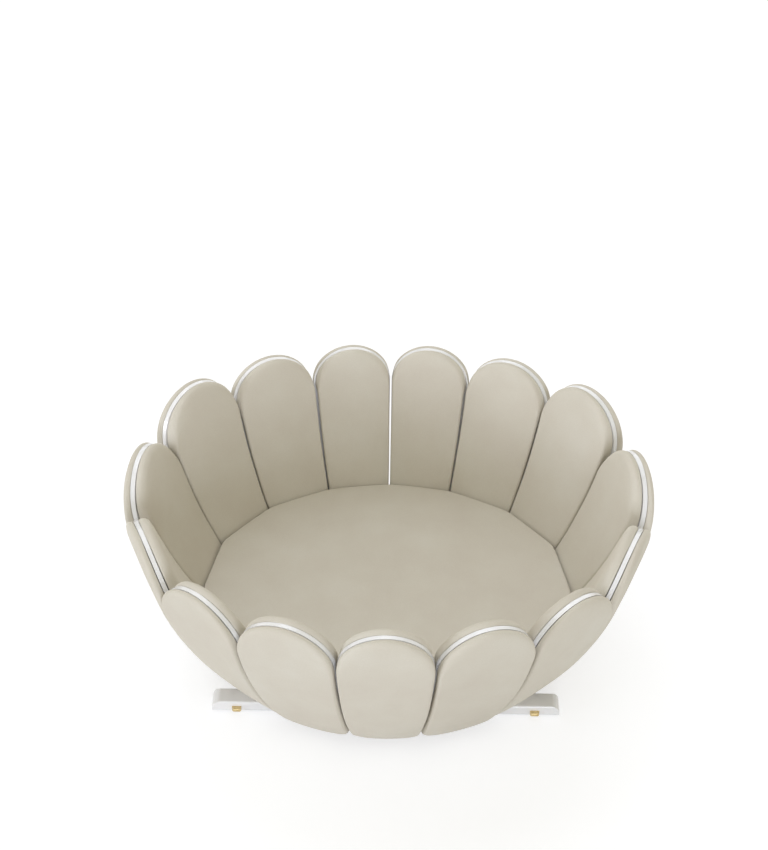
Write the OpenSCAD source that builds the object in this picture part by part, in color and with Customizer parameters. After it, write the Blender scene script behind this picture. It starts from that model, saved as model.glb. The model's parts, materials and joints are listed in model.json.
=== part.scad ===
// A low oval kids bed in the shape of an open flower. Fifteen bent panels stand round a
// deck, and each carries a cushion on its inner and on its outer face. The deck lies on
// three bearers and two rounded rails, and each rail stands on two screw feet that turn
// in brass blocks let into its face.
// X runs left to right, Y front to back, and Z = 0 is the floor.

/* [Mattress] */
// Length of the mattress top, left to right
mattress_len = 1400; // [1300:10:1500]
// Width of the mattress top, front to back
mattress_wid = 1202; // [1120:2:1260]
// Thickness of the mattress at its rim
mattress_t = 120; // [100:5:140]
// Rise of the mattress crown above its rim
mattress_crown = 12; // [2:1:24]
// How far the mattress sides pull in between the corners
mattress_draw = 6; // [0:1:12]
// Gap between the mattress and the inner pads
mattress_gap = 4; // [2:0.5:8]

/* [Seams] */
// Angle from the back seam to the first seam on each side, on the oval
seam_angle_1 = 20; // [18:0.5:22]
// Angle to the second seam
seam_angle_2 = 42.5; // [40:0.5:45]
// Angle to the third seam
seam_angle_3 = 67; // [64:0.5:70]
// Angle to the fourth seam
seam_angle_4 = 94; // [91:0.5:97]
// Angle to the fifth seam
seam_angle_5 = 124.5; // [122:0.5:128]
// Angle to the sixth seam
seam_angle_6 = 147; // [145:0.5:150]
// Angle to the seventh seam, beside the front petal
seam_angle_7 = 169.5; // [167:0.5:172]
// Gap between neighbouring panels
panel_gap = 7; // [5:0.5:10]
// Gap between neighbouring pads
pad_gap = 5; // [3:0.5:8]

/* [Petals] */
// Thickness of a bent panel
panel_t = 16; // [12:1:20]
// Radius that the panels are bent to
bend_r = 1515; // [1400:5:1650]
// Lean of the panels at the height of the mattress top, in degrees from upright
lean = 29.4; // [26:0.1:31]
// Height of the petals above the mattress top
petal_rise = 506; // [450:2:540]
// Depth of the panels below the mattress top
petal_drop = 202; // [190:1:204]
// Height of a petal's round top, as a share of its half width
arch_ratio = 0.94; // [0.7:0.01:1.1]

/* [Petal heights] */
// Extra height of the two petals beside the back seam
lift_1 = -10; // [-50:2:50]
// Extra height of the next petal on each side
lift_2 = 4; // [-50:2:50]
// Extra height of the third pair
lift_3 = 36; // [-50:2:50]
// Extra height of the fourth pair
lift_4 = -14; // [-50:2:50]
// Extra height of the fifth pair
lift_5 = -42; // [-50:2:50]
// Extra height of the sixth pair
lift_6 = -22; // [-50:2:50]
// Extra height of the seventh pair, beside the front petal
lift_7 = 6; // [-50:2:50]
// Extra height of the front petal
lift_8 = 20; // [-50:2:50]

/* [Pads] */
// Thickness of an inner pad at its edge
inner_pad_t = 44; // [34:1:50]
// Rise of an inner pad's crown above its edge
inner_crown = 8; // [2:1:12]
// Thickness of an outer pad at its edge
outer_pad_t = 35; // [24:1:38]
// Rise of an outer pad's crown above its edge
outer_crown = 7; // [2:1:12]
// Width of the rounded margin at the two ends of a pad
end_round = 48; // [30:1:56]
// Width of the rounded margin along the sides of an inner pad
inner_side_round = 18; // [12:1:30]
// Width of the rounded margin along the sides of an outer pad
outer_side_round = 38; // [20:1:44]
// Where that rounding starts, as a share of the pad's thickness
side_share = 0.26; // [0.15:0.01:0.5]
// How far a pad draws in where it meets its panel
pad_draw = 1.5; // [0:0.5:4]
// How far the panel edge stands out beyond the pads
reveal = 1.5; // [0.5:0.5:4]
// Size of the rounded lower corners of a pad
pad_corner = 46; // [30:1:60]
// Gap between a pad and its panel
pad_seat = 0.3; // [0.1:0.05:0.6]

/* [Deck] */
// Thickness of the deck board
deck_t = 18; // [15:1:22]
// Gap between the deck's edge and the panels
deck_gap = 0.3; // [0.1:0.1:1]
// Diameter of the air holes in the deck
vent_d = 36; // [20:1:50]
// Distance between air holes
vent_pitch = 150; // [120:5:180]

/* [Bearers] */
// Width of a bearer
bearer_w = 50; // [40:1:60]
// Height of a bearer
bearer_h = 82; // [80:1:95]

/* [Rails] */
// How far a rail stops short of the end of the mattress
rail_short = 61; // [50:1:80]
// Distance from the front edge of the mattress back to the middle of the rail
rail_inset = 219; // [210:1:240]
// Width of a rail, front to back
rail_w = 74; // [64:1:76]
// Height of a rail
rail_h = 44; // [40:1:48]
// Radius of the upper corners at the ends of a rail
rail_end_r = 32; // [20:1:36]
// Radius of the lower corners at the ends of a rail
rail_toe_r = 6; // [3:1:8]
// Radius along the long edges of a rail
rail_edge_r = 7; // [3:1:10]

/* [Feet] */
// Height of the rails above the floor
floor_gap = 6; // [5:0.5:8]
// Distance from the end of a rail to its foot
foot_inset = 92; // [70:1:120]
// Distance of a foot's axis behind the face of its rail
foot_in = 17; // [16:0.5:22]
// Radius of the foot's stem
stem_r = 4; // [3:0.5:4.5]
// Radial clearance between the stem and its block
stem_clear = 0.06; // [0.03:0.01:0.09]
// Radius of the foot's disc
disc_r = 13; // [11:0.5:14]
// Gap between the foot's disc and its rail
disc_gap = 0.3; // [0.2:0.1:0.6]
// Width of the brass block that holds a foot
lug_w = 34; // [28:1:40]
// How far the block stands out from the face of the rail
lug_out = 16; // [10:1:20]
// Height of the block
lug_h = 15; // [12:1:18]
// Height of the block's underside above that of the rail
lug_low = 10; // [8:1:14]
// Radius of the block's upright front corners
lug_corner = 11; // [6:1:13]
// Radius of the block's upper and lower front edges
lug_edge = 3; // [1:0.5:5]

/* [Fixings] */
// Thickness of the steel brackets
bracket_t = 3; // [2:0.5:4]
// Width of a bracket
bracket_w = 40; // [30:1:50]
// Length of each leg of a bracket
bracket_leg = 50; // [40:1:55]
// Radius of the bracket screws
screw_r = 2; // [1.5:0.25:2.5]
// Radius of the bolts that join the rails and bearers
bolt_r = 4; // [3:0.5:5]
// Radius of the deck screws
deck_screw_r = 2.5; // [2:0.25:3]
// Gap round every screw and bolt in its hole
hole_gap = 0.2; // [0.1:0.05:0.4]
// Gap under the sunk head of a deck screw
seat_clear = 0.02; // [0.01:0.01:0.05]

/* [Hidden] */
PETALS = 15;
function two(n) = str(n < 10 ? "0" : "", n);
FEET = ["front_left", "front_right", "rear_left", "rear_right"];

// Colours, as the photograph shows them
LACQUER = [0.93, 0.93, 0.94];
LEATHER = [0.78, 0.75, 0.68];
LEATHER_OUT = [0.81, 0.79, 0.74];
BIRCH = [0.80, 0.68, 0.50];
BRASS = [0.80, 0.65, 0.35];
STEEL = [0.60, 0.61, 0.63];

// Heights, from the floor up
rail_top = floor_gap + rail_h;
deck_bottom = rail_top + bearer_h;
deck_top = deck_bottom + deck_t;
mattress_top = deck_top + mattress_t;
rail_len = mattress_len - 2 * rail_short;
rail_pitch = mattress_wid - 2 * rail_inset;
foot_pitch = rail_len - 2 * foot_inset;
LIFTS = [lift_1, lift_2, lift_3, lift_4, lift_5, lift_6, lift_7, lift_8];
function petal_top(k) = mattress_top + petal_rise + LIFTS[min(k, PETALS - 1 - k)];

// Steps of the round shapes that are worked out point by point
arch_steps = 36;
sheet_fn = 720;
hole_fn = 48;

// Seams of the oval: the back seam, seven on the left, then the same seven mirrored
LEFT_SEAMS = [0, seam_angle_1, seam_angle_2, seam_angle_3, seam_angle_4, seam_angle_5, seam_angle_6,
    seam_angle_7];
function seam_at(k) = k < 8 ? LEFT_SEAMS[k] : 360 - LEFT_SEAMS[PETALS - k];
function wrap(k) = (k + PETALS) % PETALS;
function corner(k) = let (a = seam_at(wrap(k)))
    [-mattress_len / 2 * sin(a), mattress_wid / 2 * cos(a)];
function side_dir(k) = let (d = corner(k + 1) - corner(k)) d / norm(d);
function side_out(k) = let (d = side_dir(k)) [d[1], -d[0]];
function side_mid(k) = (corner(k) + corner(k + 1)) / 2;
function side_half(k) = norm(corner(k + 1) - corner(k)) / 2;
// How fast two neighbouring sides spread at their seam as they stand out
function spread(k) = tan(acos(side_out(wrap(k - 1)) * side_out(wrap(k))) / 2);
// Corner k of the outline, moved out by d
function corner_out(k, d) = let (n0 = side_out(wrap(k - 1)), n1 = side_out(wrap(k)))
    corner(k) + d * (n0 + n1) / (1 + n0 * n1);

// The bend of a petal, seen from its side. X is out from the mattress edge, and an angle
// is measured from upright, so the lean at any height follows from the bend.
inner_full = panel_t / 2 + pad_seat + inner_pad_t + inner_crown;
panel_out = (inner_full + mattress_gap) / cos(lean);
bend_x = panel_out - bend_r * cos(lean);
bend_z = mattress_top + bend_r * sin(lean);
function top_angle(k) = asin((bend_z - petal_top(k)) / bend_r);
end_angle = asin((bend_z - mattress_top + petal_drop) / bend_r);
function bend_at(angle, off) = [bend_x + (bend_r + off) * cos(angle), bend_z - (bend_r + off) * sin(angle)];
function angle_at(z, off) = asin((bend_z - z) / (bend_r + off));
function out_at(z, off) = bend_at(angle_at(z, off), off)[0];
function arc(angle) = angle * PI / 180 * bend_r;
function turn(length) = length * 180 / PI / bend_r;

// The two seam planes beside petal k, as places along its side at the distance x out
function seam_lo(k, x, gap) = -side_half(k) - spread(k) * x + gap / 2;
function seam_hi(k, x, gap) = side_half(k) + spread(k + 1) * x - gap / 2;

// The round top of petal k starts where its height is arch_ratio times its half width
function half_width(k, x, gap) = (seam_hi(k, x, gap) - seam_lo(k, x, gap)) / 2;
function arch_h(k) = arch_ratio * half_width(k, out_at(petal_top(k), 0), panel_gap);
function spring_z(k) = petal_top(k) - arch_h(k);

module in_petal(k) {
    m = side_mid(k);
    n = side_out(k);
    translate([m[0], m[1], 0]) rotate([0, 0, atan2(n[1], n[0])]) children();
}

// Part of a bent sheet, from one angle down to another, lo to hi off the panel's middle
module bent_sheet(from_angle, to_angle, lo, hi, width) {
    translate([bend_x, width / 2, bend_z]) rotate([90, 0, 0]) rotate([0, 0, -to_angle])
        rotate_extrude(angle = to_angle - from_angle, $fn = sheet_fn)
            translate([bend_r + lo, 0]) square([hi - lo, width]);
}

// The room between the two seam planes of petal k
module seam_wedge(k, gap) {
    x0 = -side_half(k);
    x1 = 2 * panel_out + side_half(k);
    linear_extrude(petal_top(k) + panel_t)
        polygon([[x0, seam_lo(k, x0, gap)], [x1, seam_lo(k, x1, gap)],
                 [x1, seam_hi(k, x1, gap)], [x0, seam_hi(k, x0, gap)]]);
}

// The outline of petal k with its round top, seen straight on
module arch_outline(k, gap) {
    x = out_at(spring_z(k), panel_t / 2);
    lo = seam_lo(k, x, gap);
    hi = seam_hi(k, x, gap);
    mid = (lo + hi) / 2;
    polygon(concat([[lo, 0], [hi, 0]],
        [for (s = [0:arch_steps]) let (a = 180 * s / arch_steps)
            [mid + (hi - lo) / 2 * cos(a), spring_z(k) + arch_h(k) * sin(a)]]));
}

// A bent and lacquered plywood panel, with two holes for its bracket screw
module petal_panel(k) {
    color(LACQUER) in_petal(k) difference() {
        intersection() {
            bent_sheet(top_angle(k) - 1, end_angle, -panel_t / 2, panel_t / 2, 4 * side_half(k));
            seam_wedge(k, panel_gap);
            rotate([90, 0, 90]) linear_extrude(2 * bend_r, center = true) arch_outline(k, panel_gap);
        }
        panel_screw_place() screw_hole(screw_len(panel_t), screw_r);
    }
}

// Ribs of a pad run across it, from its rounded lower corners up to its round top
side_ribs = 6;
corner_angles = [0, 35, 65];
arch_angles = [22, 43, 63, 81];
// Steps of the rounded margin, as angles round a quarter of an ellipse
round_angles = [30, 60, 90];

// Each rib gives how far up the pad it lies, a factor on its width, and what a lower
// corner takes off each end. d is how far the pad's ends are drawn in there.
function rib_list(k, v0, v1, d) =
    let (h = arch_h(k) - d, vs = v1 - arch_h(k), lo = v0 + d + pad_corner)
    concat(
        [for (a = corner_angles) [v0 + d + pad_corner * (1 - cos(a)), 1, pad_corner * (1 - sin(a))]],
        [for (j = [0:side_ribs - 1]) [lo + (vs - lo) * j / (side_ribs - 1), 1, 0]],
        [for (a = arch_angles) [vs + h * sin(a), cos(a), 0]]
    );
// The two ends of a rib that lies t over the panel's middle, drawn in by d
function rib_ends(k, rib, v1, d, t, side) =
    let (vs = v1 - arch_h(k),
         x = bend_at(lean - turn(min(rib[0], vs)), side * t)[0],
         lo = seam_lo(k, x, pad_gap) + d,
         hi = seam_hi(k, x, pad_gap) - d,
         half = ((hi - lo) / 2 - rib[2]) * rib[1],
         mid = (lo + hi) / 2)
    [mid - half, mid + half];
function pad_point(v, y, t, side) = let (p = bend_at(lean - turn(v), side * t)) [p[0], y, p[1]];
// One ring of a pad: up along the low seam, then down along the high seam. A ring is
// [how far its ends are drawn in, how far its sides are, its distance t].
function pad_ring(k, v0, v1, ring, side) =
    let (rl = rib_list(k, v0, v1, ring[0]), n = len(rl), d = ring[1], t = ring[2])
    concat(
        [for (j = [0:n - 1]) pad_point(rl[j][0], rib_ends(k, rl[j], v1, d, t, side)[0], t, side)],
        [for (j = [n - 1:-1:0]) pad_point(rl[j][0], rib_ends(k, rl[j], v1, d, t, side)[1], t, side)]
    );

// Faces of a closed form: rings of m points stacked from the back to the front, then n
// points along the middle of the front, n being half of m
function band_faces(r, m) = [for (j = [0:m - 1]) let (a = r * m + j, b = r * m + (j + 1) % m)
    each [[a, b, b + m], [a, b + m, a + m]]];
function pad_faces(rings, m) =
    let (n = m / 2, front = (rings - 1) * m, mid = rings * m)
    concat(
        [for (j = [0:n - 2]) each [[j, m - 1 - j, m - 2 - j], [j, m - 2 - j, j + 1]]],
        [for (r = [0:rings - 2]) each band_faces(r, m)],
        [for (j = [0:n - 2]) each [
            [front + j, front + j + 1, mid + j + 1], [front + j, mid + j + 1, mid + j],
            [mid + j, mid + j + 1, front + m - 2 - j], [mid + j, front + m - 2 - j, front + m - 1 - j]]],
        [[front + m - 1, front, mid], [front + n - 1, front + n, mid + n - 1]]
    );
function flipped(faces, flip) = flip ? [for (f = faces) [f[0], f[2], f[1]]] : faces;

// A crowned cushion on one face of the panel. side is -1 for the inner and 1 for the
// outer face, and v0 and v1 are its ends, along the bend from the mattress top.
module pad(k, side, v0, v1, base, thick, crown, side_round) {
    rings = concat(
        [[pad_draw, pad_draw, base], [0, 0, base + side_share * thick]],
        [for (a = round_angles) [end_round * (1 - cos(a)), side_round * (1 - cos(a)),
                                 base + thick * (side_share + (1 - side_share) * sin(a))]]
    );
    front = rib_list(k, v0, v1, end_round);
    n = len(front);
    points = concat(
        [for (r = rings) each pad_ring(k, v0, v1, r, side)],
        [for (j = [0:n - 1])
            let (y = rib_ends(k, front[j], v1, side_round, base + thick, side),
                 rise = crown * sin(180 * (j + 0.6) / (n + 0.2)))
            pad_point(front[j][0], (y[0] + y[1]) / 2, base + thick + rise, side)]
    );
    in_petal(k) polyhedron(points, flipped(pad_faces(len(rings), 2 * n), side < 0));
}

// A flat facet across the bend lies this far inside it
function facet_sag(k) = bend_r * (1 - cos((end_angle - top_angle(k)) / side_ribs / 2));
function pad_end(k) = arc(lean - top_angle(k)) - reveal;
inner_start = -arc(angle_at(deck_top + pad_seat, -panel_t / 2) - lean);
outer_start = -arc(end_angle - lean) + reveal;

module inner_pad(k) {
    color(LEATHER) pad(k, -1, inner_start, pad_end(k), panel_t / 2 + pad_seat, inner_pad_t, inner_crown,
                       inner_side_round);
}

module outer_pad(k) {
    color(LEATHER_OUT) pad(k, 1, outer_start, pad_end(k), panel_t / 2 + pad_seat + facet_sag(k), outer_pad_t,
                           outer_crown, outer_side_round);
}

// The mattress fills the room between the inner pads, so its sides slope with them
function pad_face_out(z) = out_at(z, -inner_full) - mattress_gap / cos(lean);
function mattress_ring(z, out, draw) = [for (k = [0:PETALS - 1])
    let (a = corner_out(k, out), b = corner_out(k + 1, out), m = (a + b) / 2 - draw * side_out(k))
    each [[a[0], a[1], z], [m[0], m[1], z]]];
module mattress() {
    soft = mattress_t / 10;
    low = deck_top + soft;
    high = mattress_top - soft;
    mid = (low + high) / 2;
    panel = mattress_len / 5;
    rings = [
        mattress_ring(deck_top, pad_face_out(low) - soft, 0),
        mattress_ring(low, pad_face_out(low), 0),
        mattress_ring(mid, pad_face_out(mid) - mattress_draw / 2, mattress_draw),
        mattress_ring(high, pad_face_out(high), 0),
        mattress_ring(mattress_top - soft / 4, pad_face_out(mattress_top) - soft / 3, 0),
        mattress_ring(mattress_top, pad_face_out(mattress_top) - soft, 0),
        mattress_ring(mattress_top + 0.5 * mattress_crown, -panel / 2, 0),
        mattress_ring(mattress_top + 0.9 * mattress_crown, -panel, 0)
    ];
    m = 2 * PETALS;
    last = (len(rings) - 1) * m;
    foot = len(rings) * m;
    points = concat([for (r = rings) each r],
        [[0, 0, deck_top], [0, 0, mattress_top + mattress_crown]]);
    faces = concat(
        [for (j = [0:m - 1]) [foot, (j + 1) % m, j]],
        [for (r = [0:len(rings) - 2]) each band_faces(r, m)],
        [for (j = [0:m - 1]) [foot + 1, last + j, last + (j + 1) % m]]
    );
    color(LEATHER) polyhedron(points, [for (f = faces) [f[0], f[2], f[1]]]);
}

// The deck is a board with bevelled sides that bear on the panels
function deck_ring(z) = [for (k = [0:PETALS - 1])
    let (p = corner_out(k, out_at(z, -panel_t / 2) - deck_gap / cos(lean))) [p[0], p[1], z]];
function on_bearer(x) = abs(x) < bearer_w || abs(abs(x) - bearer_pitch) < bearer_w;
function in_oval(x, y) =
    pow(x / (mattress_len / 2 - vent_pitch), 2) + pow(y / (mattress_wid / 2 - vent_pitch), 2) < 1;
module base_deck() {
    n = PETALS;
    points = concat(deck_ring(deck_bottom), deck_ring(deck_top));
    faces = concat([[for (j = [n - 1:-1:0]) n + j]], [[for (j = [0:n - 1]) j]],
        [for (j = [0:n - 1]) let (b = (j + 1) % n) [j, n + j, n + b, b]]);
    color(BIRCH) difference() {
        polyhedron(points, faces);
        for (x = [-3.5:3.5], y = [-2:2])
            if (in_oval(x * vent_pitch, y * vent_pitch) && !on_bearer(x * vent_pitch))
                translate([x * vent_pitch, y * vent_pitch, deck_bottom - 1])
                    cylinder(d = vent_d, h = deck_t + 2, $fn = hole_fn);
        deck_screw_places() deck_screw_hole();
        for (k = [0:PETALS - 1]) in_petal(k) deck_side_screw_place() screw_hole(screw_len(deck_t), screw_r);
    }
}

// Bearers run front to back on top of the rails. The outer faces of the outer two are in
// line with the foot of the sixth seam, so their ends stay clear of the panels.
seam_foot = corner_out(6, bend_at(end_angle, -panel_t / 2)[0]);
bearer_pitch = -seam_foot[0] - bearer_w / 2;
module cross_bearers() {
    color(BIRCH) for (x = [-bearer_pitch, 0, bearer_pitch]) difference() {
        translate([x - bearer_w / 2, -(rail_pitch + rail_w) / 2, rail_top])
            cube([bearer_w, rail_pitch + rail_w, bearer_h]);
        rail_bolt_places() rail_bolt(hole_gap);
        deck_screw_places() deck_screw_hole();
    }
}

// A rail is a bar with round upper corners at its ends and soft long edges
module rail_side() {
    half = rail_len / 2;
    end_w = half - rail_end_r;
    toe_w = half - rail_toe_r;
    for (s = [-1, 1]) {
        translate([s * end_w, rail_h - rail_end_r]) circle(rail_end_r, $fn = 96);
        translate([s * toe_w, rail_toe_r]) circle(rail_toe_r, $fn = 48);
    }
    translate([-end_w, 0]) square([2 * end_w, rail_h]);
    translate([-toe_w, 0]) square([2 * toe_w, rail_h - rail_end_r]);
    translate([-half, rail_toe_r]) square([2 * half, rail_h - rail_end_r - rail_toe_r]);
}
module rail_section() {
    w = rail_w / 2 - rail_edge_r;
    for (s = [-1, 1], z = [rail_edge_r, rail_h - rail_edge_r])
        translate([s * w, z]) circle(rail_edge_r, $fn = 48);
    translate([-w, 0]) square([2 * w, rail_h]);
    translate([-rail_w / 2, rail_edge_r]) square([rail_w, rail_h - 2 * rail_edge_r]);
}
module rail(side) {
    color(LACQUER) difference() {
        translate([0, side * rail_pitch / 2, floor_gap]) intersection() {
            rotate([90, 0, 0]) linear_extrude(rail_w, center = true) rail_side();
            rotate([90, 0, 90]) linear_extrude(rail_len, center = true) rail_section();
        }
        rail_bolt_places() rail_bolt(hole_gap);
        foot_places() {
            lug_body(hole_gap);
            translate([0, foot_in, floor_gap - 1])
                cylinder(r = stem_r + hole_gap, h = lug_low + 2, $fn = hole_fn);
        }
    }
}
module front_rail() { rail(-1); }
module rear_rail() { rail(1); }

// Bolts go up through the rails into the bearers, with their heads sunk in the rails
bolt_head_h = 6;
bolt_head_r = 2 * bolt_r;
bolt_len = rail_h + 0.6 * bearer_h;
module rail_bolt_places() {
    for (x = [-bearer_pitch, 0, bearer_pitch], s = [-1, 1])
        translate([x, s * rail_pitch / 2, floor_gap]) children();
}
module rail_bolt(gap) {
    sink = rail_h / 6;
    start = gap > 0 ? -1 : sink;
    difference() {
        union() {
            translate([0, 0, start])
                cylinder(r = bolt_head_r + gap, h = sink + bolt_head_h - start, $fn = hole_fn);
            translate([0, 0, sink]) cylinder(r = bolt_r + gap, h = bolt_len - sink + gap, $fn = hole_fn);
        }
        if (gap == 0)
            translate([0, 0, sink - 1]) cylinder(r = 0.8 * bolt_r, h = bolt_head_h / 2 + 1, $fn = 6);
    }
}
module rail_bolts() { color(STEEL) rail_bolt_places() rail_bolt(0); }

// Countersunk screws hold the deck to the bearers
deck_screw_len = deck_t + 0.55 * bearer_h;
module deck_screw_places() {
    for (x = [-bearer_pitch, 0, bearer_pitch], y = [-1, 0, 1])
        translate([x, y * rail_pitch / 3, deck_top]) children();
}
module deck_screw_hole() {
    head = 2 * deck_screw_r + hole_gap;
    mouth = head + hole_gap + seat_clear;
    translate([0, 0, -deck_screw_len - hole_gap])
        cylinder(r = deck_screw_r + hole_gap, h = deck_screw_len, $fn = hole_fn);
    translate([0, 0, -head])
        cylinder(r1 = hole_gap + seat_clear, r2 = mouth, h = head + hole_gap, $fn = hole_fn);
}
module deck_screws() {
    head = 2 * deck_screw_r;
    color(STEEL) deck_screw_places() difference() {
        union() {
            translate([0, 0, -deck_screw_len])
                cylinder(r = deck_screw_r, h = deck_screw_len - head / 2, $fn = hole_fn);
            translate([0, 0, -head - hole_gap])
                cylinder(r1 = 0.2, r2 = head, h = head, $fn = hole_fn);
        }
        translate([0, 0, -head / 2]) cylinder(r = deck_screw_r * 0.7, h = head, $fn = 6);
    }
}

// Each panel is held by a steel bracket under the deck, made from one bent strip
bracket_face = -panel_t / 2 - hole_gap / 2;
bracket_back = out_at(deck_bottom - bracket_t, bracket_face);
bracket_start = angle_at(deck_bottom, bracket_face);
bracket_end = bracket_start + turn(bracket_leg);
screw_mid = (bracket_start + turn(bracket_t) + bracket_end) / 2;
module deck_side_screw_place() {
    translate([bracket_back - 0.65 * bracket_leg, 0, deck_bottom - bracket_t]) children();
}
module panel_screw_place() {
    p = bend_at(screw_mid, bracket_face - bracket_t);
    translate([p[0], 0, p[1]]) rotate([0, 90 + screw_mid, 0]) children();
}
module bracket_side() {
    steps = 6;
    upper = angle_at(deck_bottom - bracket_t, bracket_face - bracket_t);
    polygon(concat(
        [[bracket_back - bracket_leg, deck_bottom - bracket_t], [bracket_back - bracket_leg, deck_bottom]],
        [for (s = [0:steps])
            bend_at(bracket_start + (bracket_end - bracket_start) * s / steps, bracket_face)],
        [for (s = [steps:-1:0]) bend_at(upper + (bracket_end - upper) * s / steps, bracket_face - bracket_t)]
    ));
}
module panel_brackets() {
    color(STEEL) for (k = [0:PETALS - 1]) in_petal(k) difference() {
        rotate([90, 0, 0]) linear_extrude(bracket_w, center = true) bracket_side();
        deck_side_screw_place() screw_hole(2 * bracket_t, screw_r);
        panel_screw_place() screw_hole(2 * bracket_t, screw_r);
    }
}

// A pan head screw, standing on Z = 0 with its shank up
function screw_len(board) = bracket_t + 0.7 * board;
module screw_hole(length, r) {
    translate([0, 0, -bracket_t])
        cylinder(r = r + hole_gap, h = length + bracket_t + hole_gap, $fn = hole_fn);
}
module pan_screw(length) {
    head_h = 1.2 * screw_r;
    difference() {
        union() {
            cylinder(r = screw_r, h = length, $fn = hole_fn);
            translate([0, 0, -head_h]) cylinder(r = 2 * screw_r, h = head_h, $fn = hole_fn);
        }
        translate([0, 0, -head_h - 1]) cylinder(r = 0.7 * screw_r, h = 0.6 * head_h + 1, $fn = 6);
    }
}
module bracket_screws() {
    color(STEEL) for (k = [0:PETALS - 1]) in_petal(k) {
        deck_side_screw_place() pan_screw(screw_len(deck_t));
        panel_screw_place() pan_screw(screw_len(panel_t));
    }
}

// A brass block let into the outer face of each rail, near its ends, takes a screw foot
module foot_place(side_x, side_y) {
    translate([side_x * foot_pitch / 2, side_y * (rail_pitch + rail_w) / 2, 0])
        rotate([0, 0, side_y > 0 ? 180 : 0]) children();
}
module foot_places() { for (x = [-1, 1], y = [-1, 1]) foot_place(x, y) children(); }
lug_back = foot_in + 2.5 * stem_r;
// The block from above and from its side, larger all round by gap
module lug_plan(gap) {
    half = lug_w / 2;
    for (s = [-1, 1])
        translate([s * (half - lug_corner), lug_corner - lug_out]) circle(lug_corner + gap, $fn = 96);
    translate([lug_corner - half, -lug_out - gap]) square([lug_w - 2 * lug_corner, lug_corner]);
    translate([-half - gap, lug_corner - lug_out])
        square([lug_w + 2 * gap, lug_out - lug_corner + lug_back + gap]);
}
module lug_side(gap) {
    for (z = [lug_edge, lug_h - lug_edge])
        translate([lug_edge - lug_out, z]) circle(lug_edge + gap, $fn = hole_fn);
    translate([-lug_out - gap, lug_edge]) square([lug_edge + gap, lug_h - 2 * lug_edge]);
    translate([lug_edge - lug_out, -gap]) square([lug_out - lug_edge + lug_back + gap, lug_h + 2 * gap]);
}
module lug_body(gap) {
    translate([0, 0, floor_gap + lug_low]) intersection() {
        translate([0, 0, -gap]) linear_extrude(lug_h + 2 * gap) lug_plan(gap);
        rotate([90, 0, 90]) linear_extrude(2 * lug_w, center = true) lug_side(gap);
    }
}
module foot_lugs() {
    color(BRASS) foot_places() difference() {
        lug_body(0);
        translate([0, foot_in, 0]) cylinder(r = stem_r + stem_clear, h = 2 * rail_h, $fn = hole_fn);
    }
}

// A screw foot: a disc on the floor and a stem up through the rail into its block
module screw_foot(side_x, side_y) {
    disc_h = floor_gap - disc_gap;
    bevel = disc_h / 5;
    color(BRASS) foot_place(side_x, side_y) translate([0, foot_in, 0]) {
        cylinder(r1 = disc_r - bevel, r2 = disc_r, h = bevel, $fn = 96);
        translate([0, 0, bevel]) cylinder(r = disc_r, h = disc_h - bevel, $fn = 96);
        cylinder(r = stem_r, h = floor_gap + lug_low + lug_h, $fn = hole_fn);
    }
}

mattress();
base_deck();
cross_bearers();
front_rail();
rear_rail();
foot_lugs();
for (j = [0:3])
    screw_foot(j % 2 == 0 ? -1 : 1, j < 2 ? -1 : 1);
rail_bolts();
deck_screws();
panel_brackets();
bracket_screws();
for (i = [1:PETALS]) {
    petal_panel(i - 1);
    inner_pad(i - 1);
    outer_pad(i - 1);
}
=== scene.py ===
"""A low oval kids bed shaped like an open flower, dressed for a studio picture.

Lengths are in metres. The bent petals follow the same rules as the solids they cover.
"""

import json
import math

import bpy
from mathutils import Matrix, Vector, noise


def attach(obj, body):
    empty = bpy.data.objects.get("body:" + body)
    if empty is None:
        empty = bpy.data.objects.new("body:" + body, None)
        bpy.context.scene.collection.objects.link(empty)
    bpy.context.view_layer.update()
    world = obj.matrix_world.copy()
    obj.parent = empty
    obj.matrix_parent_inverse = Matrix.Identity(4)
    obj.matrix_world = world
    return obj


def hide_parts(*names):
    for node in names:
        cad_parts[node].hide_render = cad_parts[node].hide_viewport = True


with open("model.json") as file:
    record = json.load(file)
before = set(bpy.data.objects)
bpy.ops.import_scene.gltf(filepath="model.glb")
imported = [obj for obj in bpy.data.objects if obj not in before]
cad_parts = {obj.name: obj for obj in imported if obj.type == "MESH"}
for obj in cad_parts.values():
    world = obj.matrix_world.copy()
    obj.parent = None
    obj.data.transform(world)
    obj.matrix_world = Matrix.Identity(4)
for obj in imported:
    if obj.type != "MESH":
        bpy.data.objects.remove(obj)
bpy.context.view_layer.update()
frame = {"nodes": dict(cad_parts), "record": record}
nodes = frame["nodes"]

# ---------------------------------------------------------------- sizes of the bed
MATTRESS_LEN = 1.400  # of the oval on which the corners of the mattress lie
MATTRESS_WID = 1.202
MATTRESS_CROWN = 0.012
MATTRESS_GAP = 0.004  # room between the mattress and the inner pads
MATTRESS_TOP = 0.270
DECK_TOP = 0.150
PETALS = 15
SEAMS = (0, 20, 42.5, 67, 94, 124.5, 147, 169.5)  # degrees from the back, on the left half
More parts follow.
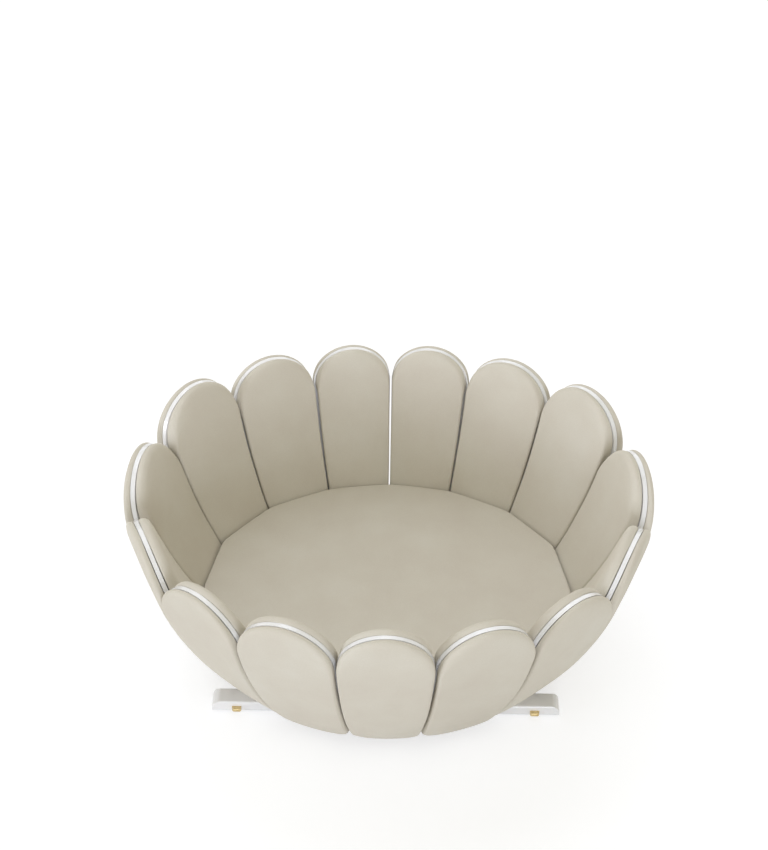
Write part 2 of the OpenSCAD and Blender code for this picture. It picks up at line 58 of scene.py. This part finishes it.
# How far the top of each pair of petals stands above or below the common height.
LIFTS = (-0.010, 0.004, 0.036, -0.014, -0.042, -0.022, 0.006, 0.020)
PAD_GAP = 0.005  # between neighbouring pads at the mattress
GAP_OPEN = 0.0045  # how much wider that gap is where the arches start
PANEL_GAP = 0.007  # between neighbouring panels
PANEL_T = 0.016
BEND_R = 1.515  # of the cylinder that every panel is a part of
LEAN = math.radians(29.4)  # from upright, at the height of the mattress top
PETAL_RISE = 0.506  # above the mattress top
PETAL_DROP = 0.202  # below it
ARCH_RATIO = 0.94  # height of an arch to half of its width
INNER_T = 0.044
INNER_CROWN = 0.008
OUTER_T = 0.035
OUTER_CROWN = 0.007
PAD_SEAT = 0.0003  # room between a panel and its pads
REVEAL = 0.0006  # how far a pad's ends stay in from the panel's
PAD_CORNER = 0.046  # radius of a pad's lower corners

# ------------------------------------------------------------ how a pad is padded out
# Its thickness builds up from its edge, in shares of the whole. At the arch: a short wall, a
# round over NOSE and a long taper. The wall also swells by BULGE, up to BULGE_SHARE.
END_WALL = 0.42
END_NOSE = 0.34
NOSE = 0.016
TAPER = 0.090
BULGE = 0.0042
BULGE_SHARE = 0.80
SWELL_FADE = math.radians(35)  # of the arch, from its foot, over which the swell grows
# At the low end: the share that is a straight wall, and the radius of the round above it.
LOW_END = (0.45, 0.015)
# Both pads of the petals over the ends of the rails have a thinner low end, and the outer
# ones have no belly.
OVER_RAIL = (2, 5, 9, 12)
RAIL_END = (0.22, 0.029)
BELLY = 0.013  # how far the other outer pads stand out near the low end
BELLY_UP = 0.34  # how far up the belly reaches
# At the sides: the wall's share, the round's radius, and how far the wall leans back towards
# the panel. The lean-back fades out over LEAN_BACK_FADE below the arch.
INNER_SIDE = (0.78, 0.008, 0.015)
OUTER_SIDE = (0.60, 0.014, 0.0015)
LEAN_BACK_FADE = 0.05
# Rows on half of the bottom, a corner, a side and half of the arch. The last row of the arch
# stays ARCH_SHORT of a step below its top.
OUTLINE_STEPS = (5, 6, 14, 14)
ARCH_SHORT = 0.35
PAD_SHARES = (0.0, 0.10, 0.20, 0.30, 0.42, 0.54, 0.65, 0.74, 0.82, 0.89, 0.945, 0.98, 1.0)
# The face rises to a spine: the margin takes CROWN_EDGE of the way, from the share CROWN_FROM
# on, and FACE_RINGS lie at these shares of the way out from the spine. The spine ends in from
# the pad's low and high end by the shares SPINE_IN of half of its width.
CROWN_FROM = 0.5
CROWN_EDGE = 0.12
CROWN_POWER = 2.3
FACE_RINGS = (0.90, 0.74, 0.55, 0.34, 0.14)
SPINE_IN = (0.8, 0.95)
# Faint unevenness of the leather, and its shift from petal to petal and face to face.
GIVE = 0.0013
GIVE_SCALE = 9
GIVE_SHIFT = (3.1, 2.0)

# ------------------------------------------------------- how the mattress is shaped
SIDE_STEPS = 8
SOFT_EDGE = 0.014  # radius of its edges
EDGE_STEPS = 5
LOW_RING = 0.3  # share of the radius at which the lower edge has its middle ring
WALL_RINGS = (0.3, 0.5, 0.7)  # shares of the height of its sides
BOW = 0.003  # how far its sides are drawn in, and its top edges lifted, between the corners
TOP_RINGS = (0.93, 0.84, 0.72, 0.58, 0.42, 0.25, 0.10)
TOP_POWER = 2.5
TOP_GIVE = 0.0012
TOP_GIVE_SCALE = 4
TOP_GIVE_AT = 1.5


# ------------------------------------------------- the oval, its seams and the bend
def seam_at(k):
    """Angle of seam k round the oval, from the back."""
    k %= PETALS
    return math.radians(SEAMS[k] if k < len(SEAMS) else 360 - SEAMS[PETALS - k])


def corner(k):
    """Corner of the mattress outline at seam k."""
    a = seam_at(k)
    return Vector((-MATTRESS_LEN / 2 * math.sin(a), MATTRESS_WID / 2 * math.cos(a)))


def side_dir(k):
    return (corner(k + 1) - corner(k)).normalized()


def side_out(k):
    d = side_dir(k)
    return Vector((d.y, -d.x))


def side_mid(k):
    return (corner(k) + corner(k + 1)) / 2


def side_half(k):
    return (corner(k + 1) - corner(k)).length / 2


def spread(k):
    """How fast two neighbouring sides spread at their seam as they stand out."""
    return math.tan(math.acos(side_out(k - 1).dot(side_out(k))) / 2)


def corner_out(k, d):
    """Corner k of the outline moved out by d."""
    n0, n1 = side_out(k - 1), side_out(k)
    return corner(k) + d * (n0 + n1) / (1 + n0.dot(n1))


PAD_BASE = PANEL_T / 2 + PAD_SEAT
INNER_FULL = PAD_BASE + INNER_T + INNER_CROWN
PANEL_OUT = (INNER_FULL + MATTRESS_GAP) / math.cos(LEAN)
BEND_X = PANEL_OUT - BEND_R * math.cos(LEAN)
BEND_Z = MATTRESS_TOP + BEND_R * math.sin(LEAN)
END_ANGLE = math.asin((BEND_Z - MATTRESS_TOP + PETAL_DROP) / BEND_R)


def petal_top(k):
    return MATTRESS_TOP + PETAL_RISE + LIFTS[min(k, PETALS - 1 - k)]


def bend_at(angle, off):
    """Point (out, up) of a petal's side view at an angle from upright."""
    r = BEND_R + off
    return BEND_X + r * math.cos(angle), BEND_Z - r * math.sin(angle)


def angle_at(z, off):
    return math.asin((BEND_Z - z) / (BEND_R + off))


def out_at(z, off):
    return bend_at(angle_at(z, off), off)[0]


def seam_lo(k, x, gap):
    """Place along the side, x out from it, where petal k starts, with half of the gap off."""
    return -side_half(k) - spread(k) * x + gap / 2


def seam_hi(k, x, gap):
    """The same where petal k ends."""
    return side_half(k) + spread(k + 1) * x - gap / 2


def arch_h(k):
    x = out_at(petal_top(k), 0)
    return ARCH_RATIO * (seam_hi(k, x, PANEL_GAP) - seam_lo(k, x, PANEL_GAP)) / 2


def petal_place(k):
    """From a petal's own frame, X out, Y along its side and Z up, to the bed's."""
    m, n = side_mid(k), side_out(k)
    return Matrix.Translation((m.x, m.y, 0)) @ Matrix.Rotation(math.atan2(n.y, n.x), 4, "Z")


# ----------------------------------------------------------------------- materials
def srgb(r, g, b):
    """A colour written as 0-255 sRGB, as the linear values that shaders take."""
    lin = [c / 3294.6 if c <= 10.31 else ((c / 255 + 0.055) / 1.055) ** 2.4 for c in (r, g, b)]
    return (*lin, 1.0)


class Nodes:
    """A material with its node tree, and short ways to add and link nodes."""

    def __init__(self, name):
        self.mat = bpy.data.materials.new(name)
        self.mat.use_nodes = True
        self.tree = self.mat.node_tree
        self.bsdf = self.tree.nodes["Principled BSDF"]

    def add(self, kind, **values):
        node = self.tree.nodes.new(kind)
        for key, value in values.items():
            if key in node.inputs:
                node.inputs[key].default_value = value
            else:
                setattr(node, key.lower(), value)
        return node

    def link(self, a, a_out, b, b_in):
        self.tree.links.new(a.outputs[a_out], b.inputs[b_in])

    def set(self, **values):
        for key, value in values.items():
            self.bsdf.inputs[key.replace("_", " ")].default_value = value

    def coords(self):
        return self.add("ShaderNodeTexCoord")

    def noise(self, coords, scale, detail=4.0, rough=0.5):
        n = self.add("ShaderNodeTexNoise", Scale=scale, Detail=detail, Roughness=rough)
        self.link(coords, "Object", n, "Vector")
        return n

    def ramp(self, source, out, stops):
        r = self.add("ShaderNodeValToRGB")
        els = r.color_ramp.elements
        while len(els) < len(stops):
            els.new(0.5)
        for e, (pos, col) in zip(els, stops):
            e.position = pos
            e.color = col if len(col) == 4 else (*col, 1.0)
        self.link(source, out, r, "Fac")
        return r

    def tone(self, source, out, stops):
        """Base colour by a ramp, its colours written as 0-255 sRGB."""
        r = self.ramp(source, out, [(pos, srgb(*col)) for pos, col in stops])
        self.link(r, "Color", self.bsdf, "Base Color")

    def roughness(self, source, *stops):
        """Roughness by a ramp of (position, value) stops."""
        r = self.ramp(source, "Fac", [(pos, (value, value, value)) for pos, value in stops])
        self.link(r, "Color", self.bsdf, "Roughness")

    def bump(self, height, out, strength, distance, chain=None):
        b = self.add("ShaderNodeBump", Strength=strength, Distance=distance)
        self.link(height, out, b, "Height")
        if chain is not None:
            self.link(chain, "Normal", b, "Normal")
        return b


LEATHER_DARK = (208, 202, 191)
LEATHER_MID = (211, 206, 195)
LEATHER_LIGHT = (214, 210, 200)


def leather():
    """Matt beige leather with a fine pebble grain, pores and soft mottling."""
    m = Nodes("beige_leather")
    c = m.coords()
    mottle = m.ramp(m.noise(c, 5.0, 5.0, 0.55), "Fac", [
        (0.30, srgb(*LEATHER_DARK)), (0.52, srgb(*LEATHER_MID)), (0.74, srgb(*LEATHER_LIGHT))])
    tint = m.ramp(m.noise(c, 260.0, 3.0, 0.6), "Fac", [
        (0.35, (0.965, 0.962, 0.955)), (0.65, (1.0, 1.0, 1.0))])
    mix = m.add("ShaderNodeMix", data_type="RGBA", blend_type="MULTIPLY")
    mix.inputs[0].default_value = 1.0
    m.tree.links.new(mottle.outputs["Color"], mix.inputs[6])
    m.tree.links.new(tint.outputs["Color"], mix.inputs[7])
    m.tree.links.new(mix.outputs[2], m.bsdf.inputs["Base Color"])
    m.roughness(m.noise(c, 38.0, 3.0), (0.3, 0.56), (0.7, 0.66))
    grain = m.add("ShaderNodeTexVoronoi", Scale=520.0, feature="SMOOTH_F1")
    m.link(c, "Object", grain, "Vector")
    pores = m.noise(c, 900.0, 2.0, 0.6)
    b = m.bump(grain, "Distance", 0.16, 0.0006)
    b = m.bump(pores, "Fac", 0.10, 0.0004, b)
    b = m.bump(m.noise(c, 14.0, 3.0, 0.5), "Fac", 0.12, 0.004, b)
    m.link(b, "Normal", m.bsdf, "Normal")
    m.set(Sheen_Weight=0.22, Sheen_Roughness=0.45, Sheen_Tint=srgb(236, 228, 212))
    m.set(Specular_IOR_Level=0.32)
    return m.mat


def lacquer():
    """Glossy white lacquer: a clear coat over sprayed paint with a trace of orange peel."""
    m = Nodes("white_lacquer")
    c = m.coords()
    m.tone(m.noise(c, 7.0, 4.0), "Fac", [(0.3, (232, 233, 236)), (0.7, (240, 240, 242))])
    m.roughness(m.noise(c, 60.0, 3.0), (0.35, 0.20), (0.65, 0.27))
    peel = m.bump(m.noise(c, 420.0, 2.0), "Fac", 0.05, 0.0004)
    m.link(peel, "Normal", m.bsdf, "Normal")
    m.set(Coat_Weight=0.6, Coat_Roughness=0.08)
    return m.mat


def brass():
    """Turned brass, slightly worn, with fine lathe lines round the vertical axis."""
    m = Nodes("turned_brass")
    c = m.coords()
    m.tone(m.noise(c, 160.0, 4.0), "Fac", [(0.3, (190, 166, 112)), (0.7, (224, 204, 158))])
    m.roughness(m.noise(c, 240.0, 3.0), (0.3, 0.24), (0.7, 0.38))
    lathe = m.add("ShaderNodeTexWave", Scale=900.0, Distortion=1.5)
    lathe.bands_direction = "Z"
    m.link(c, "Object", lathe, "Vector")
    m.link(m.bump(lathe, "Fac", 0.10, 0.0002), "Normal", m.bsdf, "Normal")
    m.set(Metallic=1.0)
    return m.mat


def steel():
    """Zinc-plated steel with a spangled, faintly blue tone."""
    m = Nodes("zinc_steel")
    c = m.coords()
    cells = m.add("ShaderNodeTexVoronoi", Scale=220.0)
    m.link(c, "Object", cells, "Vector")
    m.tone(cells, "Distance", [(0.1, (150, 153, 158)), (0.7, (190, 193, 198))])
    m.roughness(m.noise(c, 300.0), (0.3, 0.32), (0.7, 0.46))
    m.set(Metallic=1.0)
    return m.mat


def birch():
    """Birch plywood under a clear matt varnish, with long grain along X."""
    m = Nodes("birch_plywood")
    c = m.coords()
    stretch = m.add("ShaderNodeMapping")
    stretch.inputs["Scale"].default_value = (1.0, 16.0, 16.0)
    m.link(c, "Object", stretch, "Vector")
    grain = m.add("ShaderNodeTexNoise", Scale=6.0, Detail=6.0, Distortion=0.6)
    m.link(stretch, "Vector", grain, "Vector")
    m.tone(grain, "Fac", [(0.3, (196, 160, 112)), (0.5, (214, 182, 136)), (0.72, (228, 202, 160))])
    m.link(m.bump(grain, "Fac", 0.12, 0.0008), "Normal", m.bsdf, "Normal")
    m.roughness(m.noise(c, 40.0), (0.3, 0.46), (0.7, 0.58))
    return m.mat


LOOKS = {"leather": leather(), "lacquer": lacquer(), "brass": brass(), "steel": steel(),
         "birch": birch()}


# --------------------------------------------------------------------- soft pieces
def new_piece(name, points, faces, material):
    """A smooth mesh object with one level of subdivision."""
    mesh = bpy.data.meshes.new(name)
    mesh.from_pydata(points, [], faces)
    mesh.validate()
    mesh.materials.append(material)
    for p in mesh.polygons:
        p.use_smooth = True
    obj = bpy.data.objects.new(name, mesh)
    bpy.context.scene.collection.objects.link(obj)
    sub = obj.modifiers.new("smooth", "SUBSURF")
    sub.levels = 1
    sub.render_levels = 1
    return obj


def band_faces(rings, m):
    """The faces between rings of m points each."""
    return [(r * m + j, r * m + (j + 1) % m, (r + 1) * m + (j + 1) % m, (r + 1) * m + j)
            for r in range(rings - 1) for j in range(m)]


def smooth_step(u):
    u = min(max(u, 0.0), 1.0)
    return u * u * (3 - 2 * u)


def quarter(u):
    """Height of a quarter circle at the share u of its width."""
    u = min(max(u, 0.0), 1.0)
    return math.sqrt(1 - (1 - u) ** 2)


def end_swell(f):
    """How far the margin stands out round the arch where the thickness has the share f."""
    return BULGE * math.sin(math.pi * min(f / BULGE_SHARE, 1.0))


def end_draw(f):
    """How far in from a pad's arched end its thickness reaches the share f, by halving."""
    if f <= END_WALL:
        return 0.0
    lo, hi = 0.0, TAPER
    for _ in range(30):
        d = (lo + hi) / 2
        nose = END_NOSE * quarter(d / NOSE)
        g = END_WALL + nose + (1 - END_WALL - END_NOSE) * math.sin(math.pi / 2 * d / TAPER)
        lo, hi = (d, hi) if g < f else (lo, d)
    return lo


def round_draw(f, wall, radius):
    """Draw-in of a straight wall up to the share wall, and a round above it."""
    if f <= wall:
        return 0.0
    return radius * (1 - math.sqrt(max(0.0, 1 - ((f - wall) / (1 - wall)) ** 2)))


def side_draw(f, form):
    """The same from a pad's side, with a wall that leans back at the panel."""
    wall, radius, back = form
    if f <= wall:
        return back * (wall - f) / wall
    return round_draw(f, wall, radius)


def half_outline(k, v0, v1, f):
    """Half of a pad's outline at the share f, and where its arch starts.

    Each row is how far up it lies, a factor on the pad's half width, and what comes off it.
    """
    vs = v1 - arch_h(k)
    h = v1 - vs - end_draw(f)
    wall, radius = RAIL_END if k in OVER_RAIL else LOW_END
    low = v0 + round_draw(f, wall, radius)
    lo = low + PAD_CORNER
    swell = end_swell(f)
    n_bottom, n_corner, n_side, n_arch = OUTLINE_STEPS
    rows = [(low, (j + 0.5) / n_bottom, PAD_CORNER) for j in range(n_bottom)]
    for j in range(n_corner):
        a = math.pi / 2 * (j + 0.5) / n_corner
        up, off = PAD_CORNER * (1 - math.cos(a)), PAD_CORNER * (1 - math.sin(a))
        rows.append((low + up, 1.0, off))
    for j in range(n_side):
        rows.append((lo + (vs - lo) * j / (n_side - 1), 1.0, 0.0))
    for j in range(n_arch):
        a = math.pi / 2 * (j + 1) / (n_arch + ARCH_SHORT)
        out = swell * smooth_step(a / SWELL_FADE)
        rows.append((vs + (h + out) * math.sin(a), math.cos(a), -out))
    return rows, vs


def pad_points(k, side, v0, v1, f, form, t):
    """One ring of a pad as (v, y) pairs, where its thickness t off the panel has the share f."""
    dy = side_draw(f, form)
    rows, vs = half_outline(k, v0, v1, f)
    right, left = [], []
    for v, factor, off in rows:
        x = bend_at(LEAN - min(v, vs) / BEND_R, side * t)[0]
        gap = PAD_GAP + GAP_OPEN * smooth_step(v / vs)
        draw = dy * smooth_step((vs - v) / LEAN_BACK_FADE) if f < form[0] else dy
        lo, hi = seam_lo(k, x, gap) + draw, seam_hi(k, x, gap) - draw
        half, mid = ((hi - lo) / 2 - off) * factor, (lo + hi) / 2
        right.append((v, mid + half))
        left.append((v, mid - half))
    return right + left[::-1]


def pad_piece(name, k, side, v0, v1, thick, crown, form, belly):
    """A taut upholstered pad: a flat back, a full round margin and a crowned face."""
    place = petal_place(k)

    def surface(v, y, t):
        x, z = bend_at(LEAN - v / BEND_R, side * t)
        return place @ Vector((x, y, z))

    # Each point of a ring: up the petal, across it, off the panel, and its place on the
    # crown, from 1 at the pad's edge to 0 on the spine.
    rings = []
    for f in PAD_SHARES:
        edge = max(0.0, (f - CROWN_FROM) / (1 - CROWN_FROM))
        t, rho = PAD_BASE + thick * f, 1 - CROWN_EDGE * edge * edge
        rings.append([(v, y, t, rho) for v, y in pad_points(k, side, v0, v1, f, form, t)])
    shoulder = rings[-1]
    m = len(shoulder)
    mid_y = sum(p[1] for p in shoulder) / m
    v_lo = min(p[0] for p in shoulder)
    v_hi = max(p[0] for p in shoulder)
    wide = (max(p[1] for p in shoulder) - min(p[1] for p in shoulder)) / 2
    spine = (v_lo + SPINE_IN[0] * wide, v_hi - SPINE_IN[1] * wide)
    for r in FACE_RINGS:
        ring = []
        for v, y, t, rho in shoulder:
            up = min(max((v - v_lo) / (v_hi - v_lo), 0), 1)
            s = spine[0] + (spine[1] - spine[0]) * up
            ring.append((s + (v - s) * r, mid_y + (y - mid_y) * r, t, rho * r))
        rings.append(ring)

    points = []
    for ring in rings:
        for v, y, t, rho in ring:
            at = Vector((v * GIVE_SCALE + k * GIVE_SHIFT[0], y * GIVE_SCALE, side * GIVE_SHIFT[1]))
            give = GIVE * noise.noise(at)
            across = min(1.0, abs(y - mid_y) / wide)
            give += belly * (1 - across * across) * smooth_step(1 - (v - v_lo) / BELLY_UP)
            face = crown * (1 - rho ** CROWN_POWER)
            points.append(surface(v, y, t + face + give * min(1.0, (t - PAD_BASE) / thick)))

    # The bands between the rings, then the strips that close the face and the back.
    faces = band_faces(len(rings), m)
    last = (len(rings) - 1) * m
    for j in range(m // 2 - 1):
        faces.append((last + j, last + j + 1, last + m - 2 - j, last + m - 1 - j))
        faces.append((m - 1 - j, m - 2 - j, j + 1, j))
    if side < 0:
        faces = [f[::-1] for f in faces]
    return new_piece(name, points, faces, LOOKS["leather"])


def petal_pads(k):
    """The inner and the outer pad of petal k, each in the place of its node."""
    pad_end = (LEAN - angle_at(petal_top(k), 0)) * BEND_R - REVEAL
    inner_start = (LEAN - angle_at(DECK_TOP + PAD_SEAT, -PANEL_T / 2)) * BEND_R
    outer_start = (LEAN - END_ANGLE) * BEND_R + REVEAL
    outer_belly = 0.0 if k in OVER_RAIL else BELLY
    for side, kind, start, thick, crown, form, belly in (
        (-1, "inner_pad", inner_start, INNER_T, INNER_CROWN, INNER_SIDE, 0.0),
        (1, "outer_pad", outer_start, OUTER_T, OUTER_CROWN, OUTER_SIDE, outer_belly),
    ):
        node = f"{kind}_{k + 1:02d}"
        pad = pad_piece(f"{node}_cover", k, side, start, pad_end, thick, crown, form, belly)
        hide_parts(node)
        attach(pad, "bed")


def mattress_piece():
    """The flat mattress: soft edges, sides that slope with the pads, and a low crown."""

    def ring(z, out, draw=0.0, lift=0.0):
        pts = []
        for k in range(PETALS):
            a, b, n = corner_out(k, out), corner_out(k + 1, out), side_out(k)
            for j in range(SIDE_STEPS):
                s = j / SIDE_STEPS
                bow = math.sin(math.pi * s)
                p = a.lerp(b, s) - n * draw * bow
                pts.append((p.x, p.y, z + lift * bow))
        return pts

    def face_out(z):
        return out_at(z, -INNER_FULL) - MATTRESS_GAP / math.cos(LEAN)

    low, high = DECK_TOP + SOFT_EDGE, MATTRESS_TOP - SOFT_EDGE
    inset = LOW_RING * SOFT_EDGE
    rings = [ring(DECK_TOP, face_out(low) - SOFT_EDGE),
             ring(DECK_TOP + inset, face_out(low) - inset),
             ring(low, face_out(low))]
    for s in WALL_RINGS:
        z = low + (high - low) * s
        rings.append(ring(z, face_out(z) - BOW * math.sin(math.pi * s), BOW))
    rings.append(ring(high, face_out(high)))
    for j in range(1, EDGE_STEPS + 1):
        a = math.pi / 2 * j / EDGE_STEPS
        z = high + SOFT_EDGE * math.sin(a)
        out = face_out(high) + (face_out(MATTRESS_TOP) - face_out(high)) * math.sin(a)
        rings.append(ring(z, out - SOFT_EDGE * (1 - math.cos(a)), 0.0, BOW * math.sin(a)))

    m = PETALS * SIDE_STEPS
    points = [p for r in rings for p in r]
    for r in TOP_RINGS:
        rise = MATTRESS_CROWN * (1 - r ** TOP_POWER)
        for x, y, z in rings[-1]:
            at = Vector((x * r * TOP_GIVE_SCALE, y * r * TOP_GIVE_SCALE, TOP_GIVE_AT))
            give = TOP_GIVE * noise.noise(at)
            points.append((x * r, y * r, MATTRESS_TOP + (z - MATTRESS_TOP) * r + rise + give))

    # The bands between the rings, then a fan that closes the top and one below.
    count = len(rings) + len(TOP_RINGS)
    faces = band_faces(count, m)
    centre = len(points)
    points += [(0, 0, MATTRESS_TOP + MATTRESS_CROWN), (0, 0, DECK_TOP)]
    last = (count - 1) * m
    faces += [(last + j, last + (j + 1) % m, centre) for j in range(m)]
    faces += [((j + 1) % m, j, centre + 1) for j in range(m)]
    pad = new_piece("mattress_cover", points, faces, LOOKS["leather"])
    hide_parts("mattress")
    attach(pad, "bed")


for k in range(PETALS):
    petal_pads(k)
mattress_piece()

# ------------------------------------------------------------------- rigid pieces
SLOT_OF = {s["node"]: s["material_slot"] for s in frame["record"]["subparts"]}
for name, obj in nodes.items():
    if SLOT_OF[name] != "leather":
        obj.data.materials.clear()
        obj.data.materials.append(LOOKS[SLOT_OF[name]])

# ----------------------------------------------------------------- floor and light
FLOOR_HALF = 60.0
FLOOR_TONE = (0.80, 0.80, 0.80)  # as the bed is lit by it
FLOOR_SEEN = (0.46, 0.47, 0.50)  # as the camera sees it, where the shadow shows
FLOOR_LIFT = 0.66  # light added for the camera alone, up to white
WHITE = (1.0, 1.0, 1.0)
WARM = (1.10, 1.0, 0.64)
COOL = (0.95, 0.99, 1.12)
WORLD_STRENGTH = 0.350


def seen_straight(tree):
    """1 for what the camera sees, straight or in a mirror or through glass, and else 0."""
    rays = tree.nodes.new("ShaderNodeLightPath")
    result = rays.outputs["Is Camera Ray"]
    for kind in ("Is Glossy Ray", "Is Transmission Ray"):
        larger = tree.nodes.new("ShaderNodeMath")
        larger.operation = "MAXIMUM"
        tree.links.new(result, larger.inputs[0])
        tree.links.new(rays.outputs[kind], larger.inputs[1])
        result = larger.outputs[0]
    return result


def floor():
    """A pale floor whose colour alone makes the background white, with the bed's shadow."""
    s = FLOOR_HALF
    mesh = bpy.data.meshes.new("floor")
    mesh.from_pydata([(-s, -s, 0), (s, -s, 0), (s, s, 0), (-s, s, 0)], [], [(0, 1, 2, 3)])
    obj = bpy.data.objects.new("floor", mesh)
    bpy.context.scene.collection.objects.link(obj)
    m = Nodes("pale_floor")
    m.set(Roughness=0.8, Specular_IOR_Level=0.0)
    out = m.tree.nodes["Material Output"]
    lift = m.add("ShaderNodeEmission", Color=(*WHITE, 1.0))
    scale = m.add("ShaderNodeMath", operation="MULTIPLY")
    scale.inputs[1].default_value = FLOOR_LIFT
    seen = seen_straight(m.tree)
    m.tree.links.new(seen, scale.inputs[0])
    tone = m.add("ShaderNodeMix", data_type="RGBA")
    tone.inputs[6].default_value = (*FLOOR_TONE, 1.0)
    tone.inputs[7].default_value = (*FLOOR_SEEN, 1.0)
    m.tree.links.new(seen, tone.inputs[0])
    m.tree.links.new(tone.outputs[2], m.bsdf.inputs["Base Color"])
    m.link(scale, "Value", lift, "Strength")
    both = m.add("ShaderNodeAddShader")
    m.link(m.bsdf, "BSDF", both, 0)
    m.link(lift, "Emission", both, 1)
    m.link(both, "Shader", out, "Surface")
    mesh.materials.append(m.mat)


def studio_world():
    """A dim warm world that lights the bed and is plain white to the camera."""
    world = bpy.data.worlds.new("studio")
    bpy.context.scene.world = world
    world.use_nodes = True
    tree = world.node_tree
    dim = tree.nodes["Background"]
    dim.inputs["Color"].default_value = (*WARM, 1.0)
    dim.inputs["Strength"].default_value = WORLD_STRENGTH
    white = tree.nodes.new("ShaderNodeBackground")
    white.inputs["Color"].default_value = (*WHITE, 1.0)
    white.inputs["Strength"].default_value = 1.0
    choose = tree.nodes.new("ShaderNodeMixShader")
    tree.links.new(seen_straight(tree), choose.inputs[0])
    tree.links.new(dim.outputs[0], choose.inputs[1])
    tree.links.new(white.outputs[0], choose.inputs[2])
    tree.links.new(choose.outputs[0], tree.nodes["World Output"].inputs["Surface"])


def far_light(name, azimuth, elevation, strength, spread):
    """A big soft light a long way off, so that it falls evenly on the floor as well.

    Its azimuth counts from the front towards the right, and all angles are in degrees.
    """
    data = bpy.data.lights.new(name, "SUN")
    data.energy = strength
    data.angle = math.radians(spread)
    data.color = COOL
    obj = bpy.data.objects.new(name, data)
    az, el = math.radians(azimuth), math.radians(elevation)
    towards = Vector((math.sin(az) * math.cos(el), -math.cos(az) * math.cos(el), math.sin(el)))
    obj.rotation_mode = "QUATERNION"
    obj.rotation_quaternion = (-towards).to_track_quat("-Z", "Y")
    bpy.context.scene.collection.objects.link(obj)


floor()
studio_world()
far_light("front", 8, 10, 0.97, 22)
far_light("left_front", -68, 9, 1.00, 22)
far_light("right_front", 55, 10, 0.22, 22)
far_light("left_back", -134, 50, 0.50, 50)
far_light("top_front", 0, 60, 0.39, 40)
far_light("top_back", 180, 60, 0.46, 40)
far_light("low_back", 172, 27, 0.45, 40)

# ---------------------------------------------------------------------- the camera
# Its place comes from fitting the bed's own corners. Angles are in radians, and the small
# pitch and pan put the bed low in the picture.
CAM_F = 1925.51  # focal length in pixels
CAM_D = 10.4009  # distance in half lengths of the mattress
CAM_ELEV = 0.7345
CAM_YAW = -0.0021
CAM_ROLL = 0.0138
CAM_PITCH = 0.0819
CAM_PAN = -0.003
PICTURE_H = 850  # the picture's longer side in pixels
SENSOR = 36.0  # in millimetres


def fitted_camera():
    data = bpy.data.cameras.new("camera")
    data.sensor_width = SENSOR
    data.lens = CAM_F * SENSOR / PICTURE_H
    data.clip_end = 100.0
    camera = bpy.data.objects.new("camera", data)
    bpy.context.scene.collection.objects.link(camera)
    sin_e, cos_e = math.sin(CAM_ELEV), math.cos(CAM_ELEV)
    aim = Matrix.Rotation(-CAM_YAW, 4, "Z")
    away = Vector((0, -cos_e, sin_e)) * CAM_D * (MATTRESS_LEN / 2)
    look = Matrix(((1, 0, 0), (0, sin_e, -cos_e), (0, cos_e, sin_e))).to_4x4()
    tilt = (Matrix.Rotation(CAM_PITCH, 4, "X") @ Matrix.Rotation(-CAM_PAN, 4, "Y")
            @ Matrix.Rotation(CAM_ROLL, 4, "Z"))
    camera.matrix_world = (Matrix.Translation((0, 0, MATTRESS_TOP)) @ aim
                           @ Matrix.Translation(away) @ look @ tilt)
    bpy.context.scene.camera = camera


fitted_camera()
bpy.context.scene.view_settings.view_transform = "Standard"
